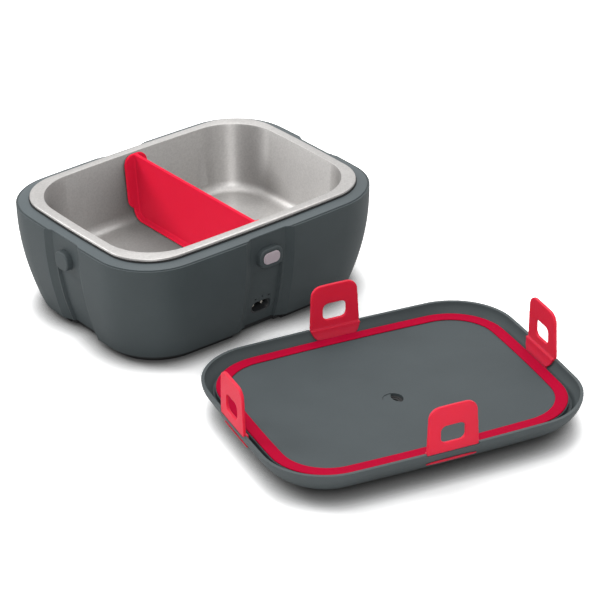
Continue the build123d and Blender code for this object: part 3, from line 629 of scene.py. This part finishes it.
@dataclass
class UpturnedLid(SubAssembly):
    """Lid lying on its crown, with its inner panel and seal."""

    nodes: dict[str, bpy.types.Object]
    voxel: float = 0.0006
    rounds: int = 3
    finishes: dict[str, Finish] = field(default_factory=lambda: {
        "lid_cover": LID, "lid_panel": PANEL, "lid_insulation": FOAM, "vent_tube": LID, "vent_tab": PANEL})

    def build(self) -> list[bpy.types.Object]:
        """Dress the lid and mould its seal.

        Returns:
            The parts of the lid and the seal.
        """
        pieces = []
        for name, finish in self.finishes.items():
            dress(self.nodes[name], finish)
            pieces.append(self.nodes[name])
        seal = merged_copy(self.nodes["lid_seal"], "seal_ring")
        soften(seal, self.voxel, self.rounds, SEAL)
        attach(seal, "lid")
        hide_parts("lid_seal")
        return [*pieces, seal]


@dataclass
class VentValve(SubAssembly):
    """Dark rubber valve seat at the bottom of the lid's vent well."""

    tube: bpy.types.Object
    radius: float = 0.0074
    height: float = 0.0011
    step: float = 0.0018
    dip: float = 0.0006
    dips: int = 2
    sides: int = 64
    edge: float = 0.0002
    edge_steps: int = 2

    def build(self) -> list[bpy.types.Object]:
        """Model the stepped disc over the end of the vent tube.

        Returns:
            The valve seat.
        """
        low, high = box_of(self.tube)
        place = ((low.x + high.x) / 2, (low.y + high.y) / 2, high.z + self.height / 2)
        bpy.ops.object.select_all(action="DESELECT")
        bpy.ops.mesh.primitive_cylinder_add(vertices=self.sides, radius=self.radius, depth=self.height,
                                            location=place)
        valve = bpy.context.active_object
        valve.name = "vent_valve"
        bpy.ops.object.transform_apply(location=True, rotation=True, scale=True)
        select_faces(valve, lambda face: face.normal.z > UPWARD)
        for _ in range(self.dips):
            bpy.ops.mesh.inset(thickness=self.step)
            bpy.ops.mesh.extrude_region_move(TRANSFORM_OT_translate={"value": (0, 0, -self.dip)})
        bpy.ops.object.mode_set(mode="OBJECT")
        apply_modifier(valve, "BEVEL", width=self.edge, segments=self.edge_steps, limit_method="ANGLE")
        select_only(valve)
        bpy.ops.object.shade_smooth_by_angle(angle=RUBBER_SMOOTH)
        dress(valve, RUBBER)
        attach(valve, "lid")
        return [valve]


class Side(Enum):
    """The four sides of the lid that carry a latch."""

    FRONT = "front"
    RIGHT = "right"
    REAR = "rear"
    LEFT = "left"


@dataclass
class StrapLatch(SubAssembly):
    """One-piece red strap: tongue inside the rim, neck over it, flap with a slot above."""

    side: Side
    nodes: dict[str, bpy.types.Object]
    joints: list[dict]
    crease_width: float = 0.0402
    crease_thickness: float = 0.0022
    crease_height: float = 0.0026
    bend_below: float = 0.0015
    bend_above: float = 0.0006
    voxel: float = 0.00042
    rounds: int = 4

    def crease(self) -> tuple[Vector, Vector]:
        """Place and direction of the bending line.

        Returns:
            A point on the line and its unit direction.
        """
        joint = next(j for j in self.joints if j["name"] == f"latch_{self.side.value}_flex")
        return Vector(joint["pos_m"]), Vector(joint["axis"]).normalized()

    def web(self) -> bpy.types.Object:
        """Thin living hinge between the neck and the flap.

        Returns:
            The web, still a piece of its own.
        """
        point, along = self.crease()
        centre = point - Vector((0, 0, self.crease_height / 2))
        bpy.ops.object.select_all(action="DESELECT")
        heading = math.atan2(along.y, along.x)
        bpy.ops.mesh.primitive_cube_add(size=1, location=centre, rotation=(0, 0, heading))
        web = bpy.context.active_object
        web.scale = (self.crease_width, self.crease_thickness, self.crease_height)
        bpy.ops.object.transform_apply(location=True, rotation=True, scale=True)
        return web

    def build(self) -> list[bpy.types.Object]:
        """Mould the strap as one soft piece, joined across its crease by a thin web.

        Returns:
            The strap.
        """
        name = self.side.value
        strap = merged_copy(self.nodes[f"strap_{name}"], f"latch_strap_{name}")
        flap = merged_copy(self.nodes[f"latch_{name}"], "flap")
        select_only(strap, flap, self.web())
        bpy.context.view_layer.objects.active = strap
        bpy.ops.object.join()
        soften(strap, self.voxel, self.rounds, STRAP)
        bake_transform(strap)
        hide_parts(f"strap_{name}", f"latch_{name}")
        return [strap]


# ---------------------------------------------------------------- studio
@dataclass(frozen=True)
class SoftLamp:
    """One square soft lamp."""

    name: str
    place: tuple[float, float, float]
    size: float
    power: float                      # watts

    def hang(self, aim: Vector) -> None:
        """Hang the lamp in the studio.

        Args:
            aim: point that it looks at.
        """
        data = bpy.data.lights.new(self.name, "AREA")
        data.shape = "RECTANGLE"
        data.size = data.size_y = self.size
        data.energy = self.power
        lamp = bpy.data.objects.new(self.name, data)
        lamp.location = self.place
        lamp.rotation_euler = (aim - Vector(self.place)).to_track_quat("-Z", "Y").to_euler()
        bpy.context.scene.collection.objects.link(lamp)


@dataclass
class Studio:
    """Pale floor, soft lamps and the camera."""

    azimuth: float = -38.28
    elevation: float = 28.8
    roll: float = -0.94
    distance: float = 2.2744
    target: tuple[float, float, float] = (0.05374, -0.0651, 0.0)
    focal_pixels: float = 2850.45
    image_pixels: int = 600
    sensor_width: float = 36.0        # millimetres
    far_limit: float = 50.0
    floor_size: float = 60.0
    floor_drop: float = 0.0001
    floor_roughness: float = 0.9
    floor_level: float = 0.8
    floor_level_seen: float = 1.6
    # painted contact shade: an occlusion test darkens the floor's colour close under the object
    painted_shade_samples: int = 8
    painted_shade_reach: float = 0.018
    painted_shade_level: float = 0.15
    painted_shade_start: float = 0.3
    sky_level: float = 0.5
    sky_level_mirrored: float = 0.92
    aim: tuple[float, float, float] = (0.03, -0.12, 0.03)
    lamps: tuple[SoftLamp, ...] = (
        SoftLamp("key", (0.45, 0.35, 2.0), 1.5, 20),
        SoftLamp("fill", (-1.05, -1.5, 1.3), 0.6, 12),
        SoftLamp("rake", (-1.15, 1.3, 1.35), 0.9, 19))

    def camera(self) -> None:
        """Stand the camera where the photograph was taken."""
        a, e, r = (math.radians(v) for v in (self.azimuth, self.elevation, self.roll))
        back = Vector((math.sin(a) * math.cos(e), -math.cos(a) * math.cos(e), math.sin(e)))
        right = Vector((math.cos(a), math.sin(a), 0))
        up = back.cross(right)
        right, up = right * math.cos(r) + up * math.sin(r), up * math.cos(r) - right * math.sin(r)
        data = bpy.data.cameras.new("camera")
        data.sensor_width = self.sensor_width
        data.lens = self.focal_pixels * self.sensor_width / self.image_pixels
        data.clip_end = self.far_limit
        cam = bpy.data.objects.new("camera", data)
        place = Matrix((right, up, back)).transposed().to_4x4()
        place.translation = Vector(self.target) + back * self.distance
        cam.matrix_world = place
        bpy.context.scene.collection.objects.link(cam)
        bpy.context.scene.camera = cam

    def floor_material(self) -> bpy.types.Material:
        """Pale floor that shows white to the camera, with painted contact shade: its colour is darkened
        close under the object.

        Returns:
            The material.
        """
        tree = NodeTree("pale_floor")
        tree.set(Roughness=self.floor_roughness, Specular_IOR_Level=0.0)
        path = tree.add("ShaderNodeLightPath")
        paleness = tree.add("ShaderNodeMapRange", To_Min=self.floor_level, To_Max=self.floor_level_seen)
        tree.link(path.outputs["Is Camera Ray"], paleness.inputs["Value"])
        # Painted shade: an ambient occlusion test darkens the floor's base colour close under the object.
        painted_contact_shade = tree.add("ShaderNodeAmbientOcclusion", samples=self.painted_shade_samples,
                           Distance=self.painted_shade_reach)
        depth = tree.add("ShaderNodeMapRange", From_Min=self.painted_shade_start, To_Min=self.painted_shade_level)
        tree.link(painted_contact_shade.outputs["AO"], depth.inputs["Value"])
        shade = tree.add("ShaderNodeMath", operation="MULTIPLY")
        tree.link(paleness.outputs["Result"], shade.inputs[0])
        tree.link(depth.outputs["Result"], shade.inputs[1])
        tree.link(shade.outputs[0], tree.shader.inputs["Base Color"])
        return tree.material

    def floor(self) -> None:
        """Lay a broad floor that keeps the shadows and carries painted shade close under the object."""
        bpy.ops.object.select_all(action="DESELECT")
        bpy.ops.mesh.primitive_plane_add(size=self.floor_size, location=(0, 0, -self.floor_drop))
        floor = bpy.context.active_object
        floor.name = "floor"
        floor.data.materials.append(self.floor_material())

    def world(self) -> None:
        """Fill the room with even light and a white sky for the camera."""
        world = bpy.data.worlds.new("studio")
        bpy.context.scene.world = world
        world.use_nodes = True
        nodes, links = world.node_tree.nodes, world.node_tree.links
        sky = nodes["Background"]
        sky.inputs["Color"].default_value = (1, 1, 1, 1)
        path = nodes.new("ShaderNodeLightPath")
        mirrored = nodes.new("ShaderNodeMapRange")
        mirrored.inputs["To Min"].default_value = self.sky_level
        mirrored.inputs["To Max"].default_value = self.sky_level_mirrored
        links.new(path.outputs["Is Glossy Ray"], mirrored.inputs["Value"])
        level = nodes.new("ShaderNodeMapRange")
        level.inputs["To Max"].default_value = 1.0
        links.new(mirrored.outputs["Result"], level.inputs["To Min"])
        links.new(path.outputs["Is Camera Ray"], level.inputs["Value"])
        links.new(level.outputs["Result"], sky.inputs["Strength"])

    def build(self) -> None:
        """Set up the whole studio."""
        self.camera()
        self.floor()
        for lamp in self.lamps:
            lamp.hang(Vector(self.aim))
        self.world()
        bpy.context.scene.view_settings.view_transform = "Standard"


def main() -> None:
    """Load the frame, build every sub-assembly in order and report its pieces."""
    logging.basicConfig(level=logging.INFO, format="%(message)s")
    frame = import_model()
    nodes = frame["nodes"]
    assemblies = [HeatedBase(nodes), DarkFlangeBand(nodes["flange_gasket"]), SteelDish(nodes), Partition(nodes),
                  UpturnedLid(nodes), VentValve(nodes["vent_tube"])]
    assemblies += [StrapLatch(side, nodes, frame["joints"]) for side in Side]
    for assembly in assemblies:
        for piece in assembly.build():
            LOG.info("%s: %s, %d faces", type(assembly).__name__, piece.name, len(piece.data.polygons))
    Studio().build()


if __name__ == "__main__":
    main()
